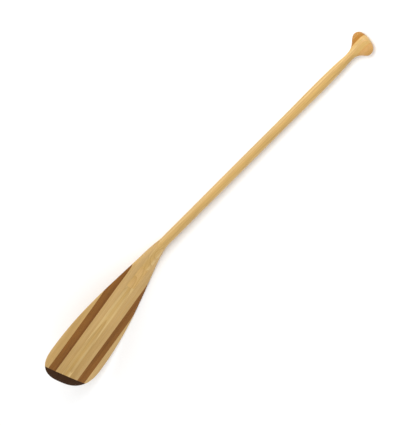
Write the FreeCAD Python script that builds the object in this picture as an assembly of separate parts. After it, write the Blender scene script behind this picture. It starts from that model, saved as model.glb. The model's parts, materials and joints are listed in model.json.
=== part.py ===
import FreeCAD, Part
import math
import os

# A laminated bent-shaft paddle, in millimetres.
# Design frame: the blade lies flat, x runs along it towards the grip,
# y points to the left edge and z points out of the face.
# A station s is the distance along the middle of the laminate from the
# centre of the bend: negative down the blade, positive up the shaft.

# Overall
LENGTH = 1450.0            # along the laminate, tip to grip end
TIP_S = -496.0             # station of the tip
GRIP_S = TIP_S + LENGTH    # station of the grip end
BEND_DEG = 14.0            # angle between blade and shaft
BEND_R = 250.0             # radius the middle ply is bent to

# Shaft
SHAFT_W = 27.2             # across the blade's width
SHAFT_H = 28.8             # through the plies
SHAFT_POWER = 2.1          # superellipse power of the section

# Laminate
PLIES = ["ply_1_back", "ply_2_back", "ply_3_back", "ply_4_core",
         "ply_5_face", "ply_6_face", "ply_7_face"]
PLY_T = SHAFT_H / len(PLIES)
TONGUE_W = SHAFT_W + 0.8   # width of the plies up the middle of the blade
STRIP_W = 26.2             # width of one blade strip
STRIP_SHIFT = 2.7          # the strips sit this far to the right of centre

# Blade
BLADE_W = 180.4            # greatest width
BLADE_T = 11.2             # thickness below the throat
BLADE_TIP_T = 9.0          # thickness at the tip guard
BLADE_POWER = 2.7          # superellipse power of the section
WIDEST_S = TIP_S + 92.0    # station of the greatest width
FLARE_S = 40.0             # the shaft begins to widen here
FLARE_POWER = 1.2          # a higher power gives a later, hollower flare
THIN_S = -165.0            # the throat has thinned to the blade here
TIP_ROUND = 85.0           # length of the rounded end
TIP_POWER = 2.6            # superellipse power of the rounded end
TIP_NOSE = 7.0             # length over which the tip's edge rounds off

# Tip guard
GUARD_L = 26.8             # from its straight edge to the tip
TENON_L = 8.0              # the wood runs this far into the resin
TENON_T = 3.2
TENON_IN = 13.4            # and stops this far inside the outline at the straight edge

# Grip
GRIP_W = 75.0
GRIP_T = 30.0
GRIP_TURN_DEG = -52.0      # turn of the grip about the shaft
NECK_W = 22.8
NECK_T = 24.2
NECK_L = 78.0              # from the grip end to the narrowest place
TAPER_L = 150.0            # from the grip end to the full shaft
CORE_W = 27.6              # plies between the two cheeks

POINTS = 20                # points around one section
SIDES = 4                  # faces around one stretch of the skin
FAR = 1000.0               # reach of the cutting blocks
V = FreeCAD.Vector


def smooth(x):
    """Rise from 0 to 1 without a kink."""
    x = min(max(x, 0.0), 1.0)
    return x * x * (3.0 - 2.0 * x)


def mix(a, b, share):
    return a + (b - a) * share


def path(s, lift=0.0):
    """Point, forward and outward directions at station s, lift above the middle."""
    bend = math.radians(BEND_DEG)
    half = bend * BEND_R / 2.0
    angle = min(max((s + half) / BEND_R, 0.0), bend)
    forward = V(math.cos(angle), 0, math.sin(angle))
    outward = V(-math.sin(angle), 0, math.cos(angle))
    arc = V(BEND_R * math.sin(angle) - half, 0, BEND_R * (1.0 - math.cos(angle)))
    run = min(s + half, 0.0) + max(s - half, 0.0)
    return arc + forward * run + outward * lift, forward, outward


def blade_half(s):
    """Half width of the outline from the shaft down to the tip."""
    share = min(max((FLARE_S - s) / (FLARE_S - WIDEST_S), 0.0), 1.0)
    half = mix(SHAFT_W / 2.0, BLADE_W / 2.0, math.sin(math.pi / 2.0 * share) ** FLARE_POWER)
    left = (s - TIP_S) / TIP_ROUND
    if left >= 1.0:
        return half
    return half * (1.0 - (1.0 - left) ** TIP_POWER) ** (1.0 / TIP_POWER)


def blade_thick(s):
    """Half thickness on the middle line, from the shaft down to the tip."""
    thin = smooth((FLARE_S - 15.0 - s) / (FLARE_S - 15.0 - THIN_S))
    body = mix(BLADE_T, BLADE_TIP_T, smooth((THIN_S - s) / (THIN_S - TIP_S)))
    half = mix(SHAFT_H, body, thin) / 2.0
    left = (s - TIP_S) / TIP_NOSE
    if left >= 1.0:
        return half
    return half * math.sqrt(1.0 - (1.0 - left) ** 2)


# Share of the grip's half width and half thickness, by distance from its end
GRIP_SHAPE = [(0.4, 0.30, 0.30), (1.6, 0.50, 0.55), (4.0, 0.69, 0.76), (9.0, 0.87, 0.93),
              (17.0, 0.98, 1.0), (27.0, 1.0, 0.98), (36.0, 0.89, 0.91), (46.0, 0.65, 0.84),
              (58.0, 0.42, 0.81)]


def grip_sections():
    """Station, half width, half thickness, power and turn of the grip's sections."""
    rows = []
    for back, wide, thick in GRIP_SHAPE:
        rows.append((GRIP_S - back, wide * GRIP_W / 2.0, thick * GRIP_T / 2.0, 1.9, 1.0))
    rows.append((GRIP_S - NECK_L, NECK_W / 2.0, NECK_T / 2.0, 2.0, 0.85))
    for share in (0.33, 0.66, 1.0):
        wide = mix(NECK_W, SHAFT_W, smooth(share)) / 2.0
        thick = mix(NECK_T, SHAFT_H, smooth(share)) / 2.0
        back = mix(NECK_L, TAPER_L, share)
        rows.append((GRIP_S - back, wide, thick, mix(2.0, SHAFT_POWER, share), 0.85 * (1.0 - share) ** 2))
    return rows[::-1]


def blade_sections():
    """The same rows from the tip up to the full shaft."""
    stations = [TIP_S + x for x in (0.25, 1.0, 2.5, 5.0, 9.0, 16.0, 26.0, 40.0, 62.0)]
    stations += [mix(WIDEST_S, FLARE_S, x / 16.0) for x in range(17)]
    stations += [FLARE_S + x for x in (20.0, 50.0)]
    rows = []
    for s in stations:
        power = mix(SHAFT_POWER, BLADE_POWER, smooth((FLARE_S - s) / (FLARE_S - THIN_S)))
        rows.append((s, blade_half(s), blade_thick(s), power, 0.0))
    return rows


def section_points(row):
    """Points of one superellipse across the path, spaced by angle."""
    s, wide, thick, power, turn = row
    centre, forward, outward = path(s)
    turn = math.radians(GRIP_TURN_DEG) * turn
    side = V(0, 1, 0)
    across = side * math.cos(turn) + outward * math.sin(turn)
    through = outward * math.cos(turn) - side * math.sin(turn)
    points = []
    for i in range(POINTS):
        c = math.cos(2.0 * math.pi * i / POINTS)
        d = math.sin(2.0 * math.pi * i / POINTS)
        r = (abs(c) ** power + abs(d) ** power) ** (-1.0 / power)
        points.append(centre + across * (wide * r * c) + through * (thick * r * d))
    return points


def skin(rings, joins):
    """A smooth surface through rings of points, as faces that end at the rings in joins."""
    around = [i / POINTS for i in range(POINTS + 1)]
    ring_curves = []
    for ring in rings:
        curve = Part.BSplineCurve()
        curve.interpolate(Points=ring, PeriodicFlag=True, Parameters=around)
        ring_curves.append(curve)
    along = [0.0]
    for one, two in zip(rings, rings[1:]):
        step = sum(p.distanceToPoint(q) for p, q in zip(one, two)) / POINTS
        along.append(along[-1] + step)
    rails = []
    for poles in zip(*[curve.getPoles() for curve in ring_curves]):
        rail = Part.BSplineCurve()
        rail.interpolate(Points=list(poles), Parameters=along)
        rails.append(rail)
    ring = ring_curves[0]
    rail = rails[0]
    surface = Part.BSplineSurface()
    surface.buildFromPolesMultsKnots([r.getPoles() for r in rails], ring.getMultiplicities(),
                                     rail.getMultiplicities(), ring.getKnots(), rail.getKnots(),
                                     True, False, ring.Degree, rail.Degree)
    faces = []
    for near, far in zip(joins, joins[1:]):
        for side in range(SIDES):
            patch = surface.copy()
            patch.segment(side / SIDES, (side + 1) / SIDES, along[near], along[far])
            faces.append(patch.toShape())
    return faces


def end_cap(faces, s):
    """The flat face that closes the skin at station s."""
    centre, forward, outward = path(s)
    rim = []
    for face in faces:
        for edge in face.Edges:
            if all(abs((v.Point - centre).dot(forward)) < 0.001 for v in edge.Vertexes):
                rim.append(edge)
    return Part.Face(Part.Wire(Part.__sortEdges__(rim)))


def paddle_form():
    """The whole outside of the paddle as one smooth solid."""
    blade = blade_sections()
    grip = grip_sections()
    shaft = []
    for share in (0.25, 0.5, 0.75):
        shaft.append((mix(blade[-1][0], grip[0][0], share), SHAFT_W / 2.0, SHAFT_H / 2.0, SHAFT_POWER, 0.0))
    rows = blade + shaft + grip
    joins = [0, len(blade) - 1, len(blade) + len(shaft), len(rows) - 1]
    faces = skin([section_points(r) for r in rows], joins)
    faces += [end_cap(faces, rows[0][0]), end_cap(faces, rows[-1][0])]
    shell = Part.Shell(faces)
    shell.sewShape()
    solid = Part.Solid(shell)
    if solid.Volume < 0:
        solid.reverse()
    return solid


def ply_blank(low, high):
    """A bent board between two heights above the middle of the laminate."""
    start = TIP_S - 30.0
    end = GRIP_S + 30.0
    half = math.radians(BEND_DEG) * BEND_R / 2.0
    edges = []
    rims = []
    for lift in (low, high):
        p = [path(s, lift)[0] for s in (start, -half, 0.0, half, end)]
        edges.append(Part.makeLine(p[0], p[1]))
        edges.append(Part.Arc(p[1], p[2], p[3]).toShape())
        edges.append(Part.makeLine(p[3], p[4]))
        rims.append((p[0], p[4]))
    edges.append(Part.makeLine(rims[0][0], rims[1][0]))
    edges.append(Part.makeLine(rims[0][1], rims[1][1]))
    face = Part.Face(Part.Wire(Part.__sortEdges__(edges)))
    face.translate(V(0, -FAR / 2.0, 0))
    return face.extrude(V(0, FAR, 0))


def slab(y_low, y_high, x_low, x_high):
    """A block between two planes across the blade."""
    y_low, y_high = sorted((y_low, y_high))
    return Part.makeBox(x_high - x_low, y_high - y_low, FAR, V(x_low, y_low, -FAR / 2.0))


def grip_block(low, high):
    """A block beyond the neck, between two planes square to the grip's width."""
    low, high = sorted((low, high))
    centre, forward, outward = path(GRIP_S - NECK_L)
    block = Part.makeBox(FAR, high - low, FAR, V(0, low, -FAR / 2.0))
    block.rotate(V(0, 0, 0), V(1, 0, 0), GRIP_TURN_DEG)
    block.rotate(V(0, 0, 0), V(0, -1, 0), BEND_DEG)
    block.translate(centre)
    return block


def wood_zone():
    """Everything above the guard's straight edge, with the tenon the resin holds."""
    edge = path(TIP_S + GUARD_L)[0].x
    above = Part.makeBox(2.0 * LENGTH, FAR, 2.0 * FAR, V(edge, -FAR / 2.0, -FAR / 2.0))
    half = blade_half(TIP_S + GUARD_L) - TENON_IN
    tenon = Part.makeBox(TENON_L + 1.0, 2.0 * half, TENON_T, V(edge - TENON_L, -half, -TENON_T / 2.0))
    corners = [e for e in tenon.Edges if abs(e.tangentAt(e.FirstParameter).z) > 0.9]
    corners = [e for e in corners if e.BoundBox.XMax < edge]
    tenon = tenon.makeFillet(TENON_L * 0.7, corners)
    return above.fuse(tenon).removeSplitter()


def only_solid(shape):
    """The one real solid of a cut, without crumbs."""
    return max(shape.Solids, key=lambda solid: solid.Volume)


def design_pieces(form):
    """Cut the form into its plies, strips, cheeks and guard."""
    zone = wood_zone()
    wood = form.common(zone)
    pieces = {"tip_guard": form.cut(zone)}
    half = TONGUE_W / 2.0
    inner = half + STRIP_W
    outer = inner + STRIP_W
    reach = path(FLARE_S)[0].x
    core = wood
    for side, sign in (("left", 1.0), ("right", -1.0)):
        shift = sign * STRIP_SHIFT
        bounds = [half, inner - shift, outer - shift, BLADE_W]
        for kind, near, far in zip(("inner", "dark", "outer"), bounds, bounds[1:]):
            blank = slab(sign * near, sign * far, -LENGTH, reach)
            pieces["strip_%s_%s" % (side, kind)] = wood.common(blank)
        core = core.cut(slab(sign * half, sign * BLADE_W, -LENGTH, reach))
        blank = grip_block(sign * CORE_W / 2.0, sign * GRIP_W)
        pieces["grip_cheek_" + side] = wood.common(blank)
        core = core.cut(blank)
    for i, name in enumerate(PLIES):
        low = -SHAFT_H / 2.0 + i * PLY_T
        high = low + PLY_T
        if i == 0:
            low -= GRIP_W
        if i == len(PLIES) - 1:
            high += GRIP_W
        pieces[name] = core.common(ply_blank(low, high))
    return {name: only_solid(shape) for name, shape in pieces.items()}


def lowest(points, up):
    return min(points, key=lambda p: p.dot(up))


def rest_up(form):
    """The direction that points up when the paddle lies on a floor, on its right edge."""
    points = form.tessellate(0.5)[0]
    blade = [p for p in points if p.x < -100.0]
    heel = [p for p in points if -100.0 <= p.x <= 250.0]
    grip = [p for p in points if p.x > path(GRIP_S - NECK_L)[0].x]
    up = V(0, 0.5, 0.85).normalize()
    for turn in range(30):
        a = lowest(blade, up)
        b = lowest(heel, up)
        c = lowest(grip, up)
        up = (b - a).cross(c - a).normalize()
        if up.z < 0:
            up = up * -1.0
    return up


def rest_matrix(form):
    """Lay the form on the floor with its length along x and the origin under its middle."""
    up = rest_up(form)
    along = path(GRIP_S)[0] - path(TIP_S)[0]
    along = (along - up * along.dot(up)).normalize()
    side = up.cross(along)
    turn = FreeCAD.Matrix(along.x, along.y, along.z, 0, side.x, side.y, side.z, 0,
                          up.x, up.y, up.z, 0, 0, 0, 0, 1)
    laid = form.transformed(turn)
    box = laid.optimalBoundingBox(False)
    turn.move(V(-box.Center.x, -box.Center.y, -box.ZMin))
    return turn


def main():
    os.makedirs("parts", exist_ok=True)
    form = paddle_form()
    matrix = rest_matrix(form)
    for name, solid in design_pieces(form).items():
        solid.transformed(matrix, True).exportStep("parts/%s.step" % name)


main()
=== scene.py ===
# %% [markdown]
# # A laminated bent-shaft paddle
# The paddle is glued up from strips of pale and dark wood, carved, varnished and tipped with dark resin.
# Its shape comes ready made from the design, one object per piece, so this lesson is about finishes:
# how to make wood whose grain follows a bent shaft, how to cast resin, and how to light a long thin thing.

# %% Load the frame
import json
import math

import bmesh
import bpy
from mathutils import Matrix, Vector


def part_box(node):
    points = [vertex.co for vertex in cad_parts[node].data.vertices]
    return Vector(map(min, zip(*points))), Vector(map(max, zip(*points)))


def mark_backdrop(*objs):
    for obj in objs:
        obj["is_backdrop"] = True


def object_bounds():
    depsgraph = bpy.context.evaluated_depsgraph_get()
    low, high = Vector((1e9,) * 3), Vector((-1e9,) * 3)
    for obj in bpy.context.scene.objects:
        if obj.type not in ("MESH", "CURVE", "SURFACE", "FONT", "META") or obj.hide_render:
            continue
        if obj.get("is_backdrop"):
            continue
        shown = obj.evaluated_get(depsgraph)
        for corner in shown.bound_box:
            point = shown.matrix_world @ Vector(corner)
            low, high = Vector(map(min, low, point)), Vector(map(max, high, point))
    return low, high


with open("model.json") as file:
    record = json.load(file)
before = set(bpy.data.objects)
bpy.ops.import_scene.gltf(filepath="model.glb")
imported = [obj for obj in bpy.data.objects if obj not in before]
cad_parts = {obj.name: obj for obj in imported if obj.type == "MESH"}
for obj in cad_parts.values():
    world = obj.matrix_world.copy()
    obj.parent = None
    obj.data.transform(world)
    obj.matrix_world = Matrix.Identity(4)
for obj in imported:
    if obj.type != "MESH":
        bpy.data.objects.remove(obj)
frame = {"nodes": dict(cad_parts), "record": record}
cad_low, cad_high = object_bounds()
cad_size = cad_high - cad_low
cad_middle = (cad_low + cad_high) / 2.0
print("pieces:", len(frame["nodes"]), "size in metres:", [round(x, 4) for x in cad_size])

# %% [markdown]
# ## Which way the wood runs
# On the real paddle the long strips are bent in the glue-up, so the grain turns with the shaft.
# A texture that only knew the room's axes would run straight through the bend.
# The glue faces of the middle ply are flat, so their directions tell exactly how the blade
# and the shaft lie. We add up the area that points each way and take the way with the most.

# %% Find the glue faces
CORE = "ply_4_core"
HEEL_REACH = 0.12        # metres kept clear of the bend and the grip, and twice that towards the blade


def glue_direction(node, low_x, high_x):
    """The upward direction that most of a piece's flat area faces, between two places along x."""
    areas = {}
    for face in frame["nodes"][node].data.polygons:
        if low_x < face.center.x < high_x:
            key = tuple(round(c, 3) for c in face.normal)
            areas[key] = areas.get(key, Vector((0.0, 0.0, 0.0))) + face.normal * face.area
    widest = max(areas.values(), key=lambda v: v.length).normalized()
    return widest if widest.z > 0.0 else -widest


def middle_height(node, direction, low_x, high_x):
    """Half way between a piece's two glue faces, measured along their direction."""
    places = [v.co for v in frame["nodes"][node].data.vertices if low_x < v.co.x < high_x]
    heights = [place.dot(direction) for place in places]
    return (min(heights) + max(heights)) / 2.0


heel_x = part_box("strip_left_inner")[1].x
blade_range = (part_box(CORE)[0].x, heel_x - 2.0 * HEEL_REACH)
shaft_range = (heel_x + HEEL_REACH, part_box("grip_cheek_left")[0].x - HEEL_REACH)
blade_up = glue_direction(CORE, *blade_range)
shaft_up = glue_direction(CORE, *shaft_range)
across = shaft_up.cross(blade_up).normalized()
print("bend in degrees:", round(math.degrees(blade_up.angle(shaft_up)), 2))

# %% [markdown]
# The middle of the blade and the middle of the shaft are two planes, and they cross in a line.
# The place where the design says to hold the shaft gives a third plane. Three planes meet in
# one point, the heel of the bend, and both grain directions count from there.

# %% Find the heel
hold = next(m for m in frame["record"]["mounts"] if m["name"] == "shaft_hold")
heights = Vector((middle_height(CORE, blade_up, *blade_range),
                  middle_height(CORE, shaft_up, *shaft_range),
                  Vector(hold["pos_m"]).dot(across)))
heel = Matrix((blade_up, shaft_up, across)).inverted() @ heights
blade_axes = Matrix((across.cross(blade_up), across, blade_up))
shaft_axes = Matrix((across.cross(shaft_up), across, shaft_up))
print("heel at:", [round(x, 4) for x in heel])

# %% [markdown]
# ## Small tools for node trees
# A material is a graph of nodes. Made by hand in the editor it is a lot of clicking, and made in code
# it is a lot of lines, so a few short helpers keep the recipes below readable. The first gives
# back the node it made, the next four give back the output that the next node needs, and the
# last sets plain values.

# %% Node helpers
def add(tree, kind, values=None, **settings):
    """A node with its settings, and its inputs either linked or set."""
    made = tree.nodes.new(kind)
    for key, value in settings.items():
        setattr(made, key, value)
    for key, value in (values or {}).items():
        if isinstance(value, bpy.types.NodeSocket):
            tree.links.new(value, made.inputs[key])
        else:
            made.inputs[key].default_value = value
    return made


def maths(tree, operation, *values):
    """The result of one Math node."""
    return add(tree, "ShaderNodeMath", dict(enumerate(values)), operation=operation).outputs[0]


def remap(tree, value, low, high, new_low, new_high):
    """A value moved smoothly from one range to another."""
    values = {"Value": value, "From Min": low, "From Max": high, "To Min": new_low, "To Max": new_high}
    return add(tree, "ShaderNodeMapRange", values, interpolation_type="SMOOTHSTEP").outputs["Result"]


def blend_colours(tree, share, first, second, how="MIX"):
    """One colour laid over another. The Mix node keeps its colour sockets at places 6 and 7."""
    mixed = add(tree, "ShaderNodeMix", {0: share, 6: first, 7: second}, data_type="RGBA", blend_type=how)
    return mixed.outputs[2]


def noise(tree, place, stretch, detail=2.0, offset=0.0):
    """Noise with a scale of its own along, across and through the wood."""
    spread = add(tree, "ShaderNodeVectorMath", {0: place, 1: stretch}, operation="MULTIPLY").outputs[0]
    shift = (offset, offset, offset)
    moved = add(tree, "ShaderNodeVectorMath", {0: spread, 1: shift}, operation="ADD").outputs[0]
    return add(tree, "ShaderNodeTexNoise", {"Vector": moved, "Scale": 1.0, "Detail": detail}).outputs["Fac"]


def finish_values(shader, values):
    """Values that are the same all over a surface sit on the shader itself."""
    for key, value in values.items():
        shader.inputs[key].default_value = value


# %% [markdown]
# ## Grain that bends with the shaft
# Object coordinates give the same point of the same piece everywhere, with no unwrapping.
# A Mapping node of the texture kind turns them to run along the blade, and a second one to run
# along the shaft. Both start at the heel, so fading from one to the other over a short stretch
# bends the grain and leaves no seam. This goes in a node group, because every wood uses it.

# %% Node group for the direction of the wood
BEND_FADE = 0.04         # metres each side of the heel


def wood_space():
    """A group whose output is the place in the wood: along, across and through, in metres."""
    tree = bpy.data.node_groups.new("place_in_the_wood", "ShaderNodeTree")
    tree.interface.new_socket("Place", in_out="OUTPUT", socket_type="NodeSocketVector")
    place = add(tree, "ShaderNodeTexCoord").outputs["Object"]
    turned = []
    for axes in (blade_axes, shaft_axes):
        values = {"Vector": place, "Location": heel, "Rotation": axes.transposed().to_euler()}
        turned.append(add(tree, "ShaderNodeMapping", values, vector_type="TEXTURE").outputs[0])
    along = add(tree, "ShaderNodeSeparateXYZ", {0: turned[0]}).outputs["X"]
    share = remap(tree, along, -BEND_FADE, BEND_FADE, 0.0, 1.0)
    mixed = add(tree, "ShaderNodeMix", {0: share, 4: turned[0], 5: turned[1]}, data_type="VECTOR")
    add(tree, "NodeGroupOutput", {"Place": mixed.outputs[1]})
    return tree


WOOD_SPACE = wood_space()


def place_in_wood(tree):
    return add(tree, "ShaderNodeGroup", node_tree=WOOD_SPACE).outputs["Place"]


# %% [markdown]
# ## Wood under varnish
# What the eye reads as wood is four things at four scales. Broad bands of tone run the length of
# a board. Growth rings are shells around the heart of the tree, so the recipe measures the
# distance to a heart line outside the board and cuts it into rings. Where a carved surface slopes
# through them they open into long curves by themselves, as they do on a real blade.
# Fibres are hair-thin streaks, and pores are short dark dashes, strongest in the dark wood.
# A picture of wood would be quicker, but it can't turn the rings over an edge.
# The varnish is the coat of the Principled shader: smooth over the grain, with its own faint
# ripple. Under it the small rubs that a paddle gets where it is handled dull the wood.

# %% Scales of the grain
# Each is noise per metre along, across and through the wood.
WANDER = (1.7, 14.0, 14.0)
BANDS = (0.8, 55.0, 55.0)
FIBRES = (14.0, 900.0, 900.0)
PORES = (55.0, 1900.0, 1900.0)
CLOUDS = (5.0, 16.0, 16.0)
RUBS = (30.0, 420.0, 420.0)
RING_WANDER = 0.016      # metres that a ring may stray from its circle
VARNISH = {"Coat Weight": 0.28, "Coat IOR": 1.35, "Coat Roughness": 0.16, "Specular IOR Level": 0.1}

# %% Growth rings
def rings(tree, place, heart, spacing, offset):
    """Growth rings as a value from 0, early wood, to 1, the thin late line."""
    stray = maths(tree, "SUBTRACT", noise(tree, place, WANDER, 2.0, offset), 0.5)
    wander = maths(tree, "MULTIPLY", stray, RING_WANDER)
    split = add(tree, "ShaderNodeSeparateXYZ", {0: place})
    side = maths(tree, "SUBTRACT", split.outputs["Y"], heart[0])
    deep = maths(tree, "SUBTRACT", split.outputs["Z"], heart[1])
    squares = maths(tree, "ADD", maths(tree, "MULTIPLY", side, side), maths(tree, "MULTIPLY", deep, deep))
    reach = maths(tree, "SQRT", squares)
    count = maths(tree, "DIVIDE", maths(tree, "ADD", reach, wander), spacing)
    within = maths(tree, "FRACT", count)
    return maths(tree, "POWER", within, 3.0)


# %% Recipe for a wood
def wood(name, early, late, warm, heart, spacing, pores, offset):
    """A varnished wood. early and late are the ring's colours, warm the tone of the broad bands."""
    made = bpy.data.materials.new(name)
    made.use_nodes = True
    tree = made.node_tree
    place = place_in_wood(tree)
    ring = rings(tree, place, heart, spacing, offset)
    band = remap(tree, noise(tree, place, BANDS, 2.0, offset + 3.0), 0.38, 0.62, 0.0, 1.0)
    fibre = noise(tree, place, FIBRES, 4.0, offset + 7.0)
    dash = noise(tree, place, PORES, 2.0, offset + 11.0)
    pore = remap(tree, dash, 0.60, 0.68, 0.0, pores)
    cloud = noise(tree, place, CLOUDS, 3.0, offset + 17.0)
    rub = remap(tree, noise(tree, place, RUBS, 3.0, offset + 23.0), 0.66, 0.72, 0.0, 1.0)
    colour = blend_colours(tree, maths(tree, "MULTIPLY", band, 0.85), early, warm)
    colour = blend_colours(tree, maths(tree, "MULTIPLY", ring, 0.6), colour, late)
    streaks = remap(tree, fibre, 0.3, 0.7, 0.83, 1.01)
    shade = maths(tree, "ADD", streaks, remap(tree, cloud, 0.3, 0.7, -0.06, 0.06))
    shade = maths(tree, "MULTIPLY", shade, maths(tree, "SUBTRACT", 1.0, pore))
    grey = add(tree, "ShaderNodeCombineXYZ", {0: shade, 1: shade, 2: shade}).outputs[0]
    colour = blend_colours(tree, 1.0, colour, grey, "MULTIPLY")
    rough = maths(tree, "ADD", remap(tree, fibre, 0.3, 0.7, 0.40, 0.50), maths(tree, "MULTIPLY", rub, 0.2))
    height = maths(tree, "SUBTRACT", maths(tree, "ADD", fibre, maths(tree, "MULTIPLY", ring, 0.6)), pore)
    bump = add(tree, "ShaderNodeBump", {"Height": height, "Strength": 0.35, "Distance": 0.00025})
    ripple = add(tree, "ShaderNodeBump", {"Height": cloud, "Strength": 0.25, "Distance": 0.0012})
    shader = tree.nodes["Principled BSDF"]
    finish_values(shader, VARNISH)
    tree.links.new(colour, shader.inputs["Base Color"])
    tree.links.new(rough, shader.inputs["Roughness"])
    tree.links.new(bump.outputs[0], shader.inputs["Normal"])
    tree.links.new(ripple.outputs[0], shader.inputs["Coat Normal"])
    return made


# %% [markdown]
# ## One board, one tree
# Every strip was sawn from its own place in its own board, so no two may share a pattern.
# The table gives each kind of wood its colours, and each piece gets its own heart line and its
# own offset in the noise, worked out from its number. The plies lie flat in the laminate, so
# their hearts are below them. The blade's strips stand on edge, so theirs are to one side, and
# the grip's cheeks do the same. The two cheeks are one wood in two tones of painted light and shade:
# the left one darker as painted shade, the right one paler as painted light.

# %% Colours of the woods
def tones(early, late, warm):
    """A wood's three colours, made solid."""
    return {"early": (*early, 1.0), "late": (*late, 1.0), "warm": (*warm, 1.0)}


PALE = tones(early=(0.68, 0.48, 0.21), late=(0.46, 0.27, 0.08), warm=(0.58, 0.36, 0.11))
HONEY = tones(early=(0.61, 0.39, 0.14), late=(0.43, 0.24, 0.060), warm=(0.64, 0.40, 0.16))
CREAM = tones(early=(0.62, 0.41, 0.17), late=(0.44, 0.26, 0.085), warm=(0.54, 0.33, 0.11))
DARK = tones(early=(0.28, 0.112, 0.018), late=(0.13, 0.042, 0.006), warm=(0.20, 0.070, 0.008))
# Grip wood painted darker as painted shade; the left cheek keeps it.
SHADED_GRIP_WOOD = tones(early=(0.40, 0.175, 0.026), late=(0.26, 0.10, 0.010), warm=(0.52, 0.27, 0.075))
# A paler copy of the grip wood, as painted light, for the right cheek.
LIT_GRIP_WOOD = tones(early=(0.56, 0.31, 0.090), late=(0.38, 0.17, 0.035), warm=(0.62, 0.36, 0.13))
SLOT_COLOURS = {"ply_pale": PALE, "ply_warm": HONEY, "strip_light": CREAM, "strip_dark": DARK,
                "grip_wood": SHADED_GRIP_WOOD}
SLOT_PORES = {"ply_pale": 0.10, "ply_warm": 0.12, "strip_light": 0.10, "strip_dark": 0.40, "grip_wood": 0.22}

# The right cheek takes the lit copy, so the two cheeks carry painted light and shade.
LIT_CHEEK_COLOURS = {"grip_cheek_right": LIT_GRIP_WOOD}

# %% Where each board grew, in metres
HEART_NEAR = 0.05        # from a board to the heart of its tree, at the least
HEART_STEP = 0.011       # and this much more from one board to the next
BOARD_CYCLE = 5          # boards before that starts again
PLY_SIDE = 0.02          # the plies' hearts are counted from this far to one side
PLY_SIDE_STEP = 0.004    # and move across by this much from ply to ply
STRIP_SIDE = 0.09        # a strip's heart is this much further off, to one side
STRIP_DEEP = 0.02        # and this far below
RING_NEAR = 0.0019       # between two rings, at the least
RING_STEP = 0.0003       # and this much more from one board to the next
RING_CYCLE = 4           # boards before that starts again
OFFSET_STEP = 13.7       # keeps the noise of one board clear of the next one's

# %% Give each piece of wood its own board
slots = {part["node"]: part["material_slot"] for part in frame["record"]["subparts"]}
wooden = sorted(node for node in slots if slots[node] != "resin")
for number, node in enumerate(wooden):
    slot = slots[node]
    below = HEART_NEAR + HEART_STEP * (number % BOARD_CYCLE)
    ply_heart = (PLY_SIDE_STEP * number - PLY_SIDE, -below)
    strip_heart = (STRIP_SIDE + below, -STRIP_DEEP)
    finish = wood("wood_" + node,
                  heart=ply_heart if node.startswith("ply") else strip_heart,
                  spacing=RING_NEAR + RING_STEP * (number % RING_CYCLE),
                  pores=SLOT_PORES[slot],
                  offset=OFFSET_STEP * (number + 1),
                  **LIT_CHEEK_COLOURS.get(node, SLOT_COLOURS[slot]))
    piece = frame["nodes"][node]
    for place in piece.material_slots:
        place.material = finish
print("wooden pieces:", len(wooden))

# %% [markdown]
# ## Cast resin
# The guard is epoxy, thickened and coloured almost black, cast round the end of the blade and
# sanded flush. Its shine is weaker than the varnish's and it has no grain: only clouds where the filler
# settled, a few fine specks, and dull scuffs where it meets the river bed, most of them near the
# very end. The wear is a mask that grows towards the tip, so it is measured along the blade.

# %% Recipe for the resin
SANDED = {"Coat Weight": 0.06, "Coat IOR": 1.35, "Coat Roughness": 0.2, "Specular IOR Level": 0.08}


def resin(name, edge, tip):
    """Dark cast resin. edge and tip are places along the blade, for the wear."""
    made = bpy.data.materials.new(name)
    made.use_nodes = True
    tree = made.node_tree
    place = place_in_wood(tree)
    cloud = noise(tree, place, (60.0, 60.0, 60.0), 4.0, 1.0)
    speck = remap(tree, noise(tree, place, (900.0, 900.0, 900.0), 2.0, 5.0), 0.66, 0.74, 0.0, 1.0)
    along = add(tree, "ShaderNodeSeparateXYZ", {0: place}).outputs["X"]
    near_tip = remap(tree, along, edge, tip, 0.0, 1.0)
    scuff = noise(tree, place, (700.0, 160.0, 400.0), 4.0, 9.0)
    worn = maths(tree, "MULTIPLY", remap(tree, scuff, 0.52, 0.66, 0.0, 1.0), near_tip)
    colour = blend_colours(tree, cloud, (0.026, 0.009, 0.002, 1.0), (0.056, 0.022, 0.005, 1.0))
    colour = blend_colours(tree, maths(tree, "MULTIPLY", speck, 0.35), colour, (0.16, 0.10, 0.07, 1.0))
    colour = blend_colours(tree, maths(tree, "MULTIPLY", worn, 0.30), colour, (0.12, 0.085, 0.07, 1.0))
    even = remap(tree, cloud, 0.3, 0.7, 0.26, 0.36)
    rough = maths(tree, "ADD", even, maths(tree, "MULTIPLY", worn, 0.3))
    height = maths(tree, "SUBTRACT", cloud, maths(tree, "MULTIPLY", worn, 0.5))
    bump = add(tree, "ShaderNodeBump", {"Height": height, "Strength": 0.4, "Distance": 0.0004})
    shader = tree.nodes["Principled BSDF"]
    finish_values(shader, SANDED)
    tree.links.new(colour, shader.inputs["Base Color"])
    tree.links.new(rough, shader.inputs["Roughness"])
    tree.links.new(bump.outputs[0], shader.inputs["Normal"])
    return made


guard = frame["nodes"]["tip_guard"]
guard_places = [(blade_axes @ (v.co - heel)).x for v in guard.data.vertices]
for place in guard.material_slots:
    place.material = resin("cast_resin", max(guard_places), min(guard_places))
print("guard's length along the blade:", round(max(guard_places) - min(guard_places), 4))

# %% [markdown]
# ## Floor
# The paddle lies on a wide sheet of white paper. A plane with one flat colour would look like
# empty space, so the paper has a very faint mottle. It reaches far past the edges of the view.

# %% Paper floor
FLOOR_REACH = 40.0       # metres from the middle to each edge


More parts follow.
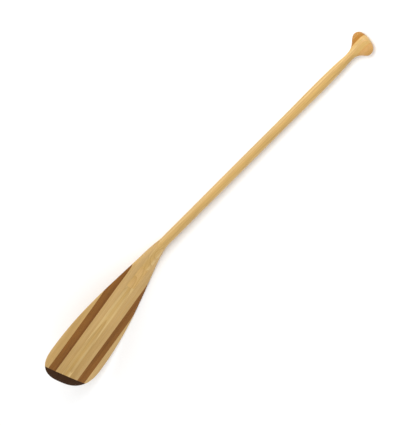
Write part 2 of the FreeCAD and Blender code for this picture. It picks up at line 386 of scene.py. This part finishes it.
def paper():
    made = bpy.data.materials.new("white_paper")
    made.use_nodes = True
    tree = made.node_tree
    place = add(tree, "ShaderNodeTexCoord").outputs["Object"]
    mottle = noise(tree, place, (3.0, 3.0, 3.0), 4.0)
    colour = blend_colours(tree, mottle, (0.95, 0.95, 0.945, 1.0), (0.98, 0.98, 0.98, 1.0))
    shader = tree.nodes["Principled BSDF"]
    shader.inputs["Roughness"].default_value = 0.9
    shader.inputs["Specular IOR Level"].default_value = 0.1
    tree.links.new(colour, shader.inputs["Base Color"])
    return made


def make_floor():
    mesh = bpy.data.meshes.new("floor")
    shape = bmesh.new()
    bmesh.ops.create_grid(shape, x_segments=8, y_segments=8, size=FLOOR_REACH)
    shape.to_mesh(mesh)
    shape.free()
    mesh.materials.append(paper())
    made = bpy.data.objects.new("floor", mesh)
    bpy.context.scene.collection.objects.link(made)
    made.location.z = cad_low.z
    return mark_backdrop(made)


make_floor()

# %% [markdown]
# ## Light
# Varnished wood needs two things: even light from all round, so the colours are true, and
# broad soft lamps whose reflections run along the rounded edges. A white world does the first.
# The key lamp is a little further off than the paddle is long and nearly as large, which keeps
# its shadow faint. A weaker lamp stands lower, on the blade's side.

# %% World and lamps
def make_world(strength):
    world = bpy.data.worlds.new("studio")
    world.use_nodes = True
    background = world.node_tree.nodes["Background"]
    background.inputs["Color"].default_value = (1.0, 1.0, 1.0, 1.0)
    background.inputs["Strength"].default_value = strength
    bpy.context.scene.world = world


def make_lamp(name, direction, distance, width, power):
    """A square soft lamp that looks at the middle of the paddle from a direction."""
    data = bpy.data.lights.new(name, "AREA")
    data.shape = "SQUARE"
    data.size = width
    data.energy = power
    made = bpy.data.objects.new(name, data)
    bpy.context.scene.collection.objects.link(made)
    towards = Vector(direction).normalized()
    made.location = cad_middle + towards * distance
    made.rotation_euler = towards.to_track_quat("Z", "Y").to_euler()
    return made


make_world(strength=0.92)
make_lamp("key_lamp", direction=(0.75, 0.45, 0.75), distance=1.1 * cad_size.x,
          width=0.9 * cad_size.x, power=14.0)
make_lamp("low_lamp", direction=(-0.75, 0.50, 0.45), distance=1.8 * cad_size.x,
          width=0.6 * cad_size.x, power=8.0)

# %% [markdown]
# ## Camera
# A paddle is long and thin, so it is set across the corners of the frame: the camera looks down
# on it from beyond the grip and is rolled until the shaft runs up to the right. A long lens from
# far off keeps both ends the same size. The lens is worked out from the height that should fit.

# %% Camera
AZIMUTH = math.radians(-20.7)      # of the camera about the vertical, from +x
ELEVATION = math.radians(59.8)
ROLL = math.radians(-115.3)
CAMERA_DISTANCE = 14.0             # metres
VIEW_HEIGHT = 0.839 * cad_size.x   # metres of the scene from the bottom of the frame to the top
AIM_ABOVE = 0.1 * cad_size.z       # the camera looks this far above the middle of the paddle


def make_camera():
    data = bpy.data.cameras.new("camera")
    data.lens = data.sensor_width * CAMERA_DISTANCE / VIEW_HEIGHT
    data.clip_end = 200.0
    made = bpy.data.objects.new("camera", data)
    bpy.context.scene.collection.objects.link(made)
    flat = math.cos(ELEVATION)
    back = Vector((math.cos(AZIMUTH) * flat, math.sin(AZIMUTH) * flat, math.sin(ELEVATION)))
    right = Vector((0.0, 0.0, 1.0)).cross(back).normalized()
    level = Matrix((right, back.cross(right), back)).transposed()
    turn = (level @ Matrix.Rotation(ROLL, 3, "Z")).to_4x4()
    aim = cad_middle + Vector((0.0, 0.0, AIM_ABOVE))
    made.matrix_world = Matrix.Translation(aim + back * CAMERA_DISTANCE) @ turn
    bpy.context.scene.camera = made
    print("lens in millimetres:", round(data.lens, 1))


make_camera()
bpy.context.scene.view_settings.view_transform = "Standard"
